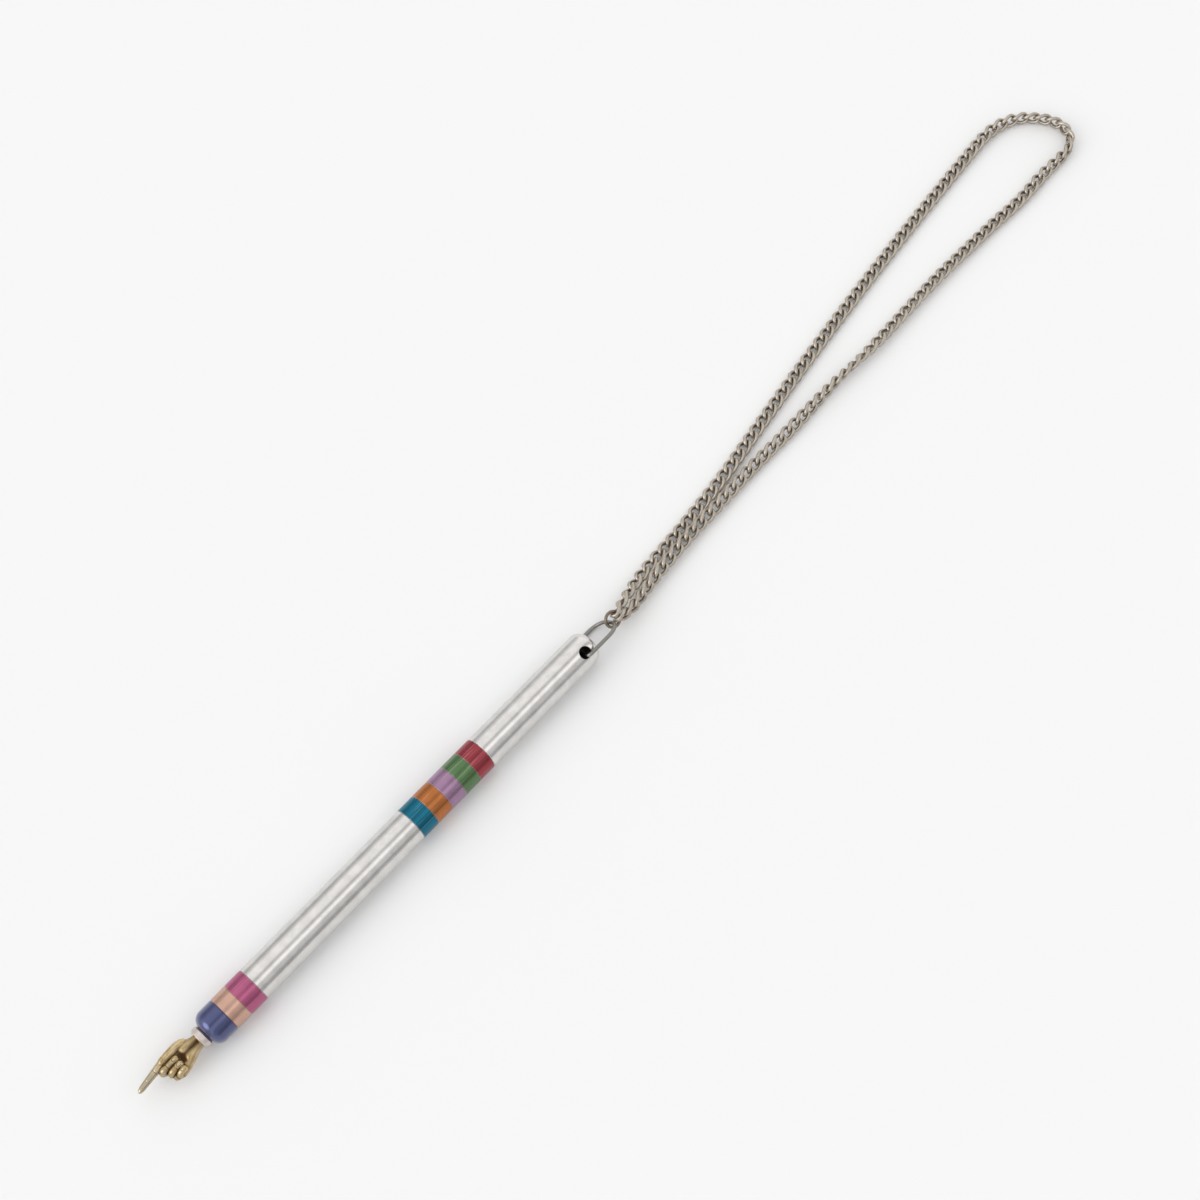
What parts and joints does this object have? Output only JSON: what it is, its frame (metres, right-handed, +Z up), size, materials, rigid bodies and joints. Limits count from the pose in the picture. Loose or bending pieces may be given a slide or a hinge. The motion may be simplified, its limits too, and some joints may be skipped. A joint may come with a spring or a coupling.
{
  "type": "torah pointer",
  "caption": "Straight rod of stacked satin metal rings ending in a small pointing hand, with a wire loop, jump ring and flat curb chain at the other end for hanging it up.",
  "frame": {"origin": "on the table under the rod's axis, midway between the fingertip and the wire loop's far end", "axes": "+X along the rod from the hand to the chain, +Z up from the table, palm side of the hand up"},
  "size_m": [0.3985, 0.0324, 0.01],
  "materials": {
    "brass": "cast, with dark recesses",
    "silver": "satin, turned",
    "navy": "dyed satin metal",
    "peach": "dyed satin metal",
    "magenta": "dyed satin metal",
    "teal": "dyed satin metal",
    "orange": "dyed satin metal",
    "lilac": "dyed satin metal",
    "green": "dyed satin metal",
    "red": "dyed satin metal",
    "steel": "plain",
    "wire": "drawn wire",
    "chain": "plated, with dark recesses"
  },
  "bodies": {
    "pointer": {"hand": "brass", "wrist_collar": "silver", "nose_bead": "navy", "peach_ring": "peach", "magenta_ring": "magenta", "lower_shaft": "silver", "teal_ring": "teal", "orange_ring": "orange", "lilac_ring": "lilac", "green_ring": "green", "red_ring": "red", "joining_stud": "steel", "upper_shaft": "silver"},
    "loop": {"wire_loop": "wire"},
    "chain": {"jump_ring": "chain", "chain_near_left": "chain", "chain_left": "chain", "chain_bend": "chain", "chain_right": "chain", "chain_near_right": "chain"}
  },
  "joints": [
    {"name": "loop_swing", "type": "hinge", "parent": "pointer", "child": "loop", "pos_m": [0.07268, 0, 0.005], "axis": [0, -0.6561, 0.7547], "range_deg": [-120, 120]},
    {"name": "chain_swing", "type": "hinge", "parent": "loop", "child": "chain", "pos_m": [0.08528, 0, 0.005], "axis": [0, -0.6561, 0.7547], "range_deg": [-60, 60]}
  ]
}
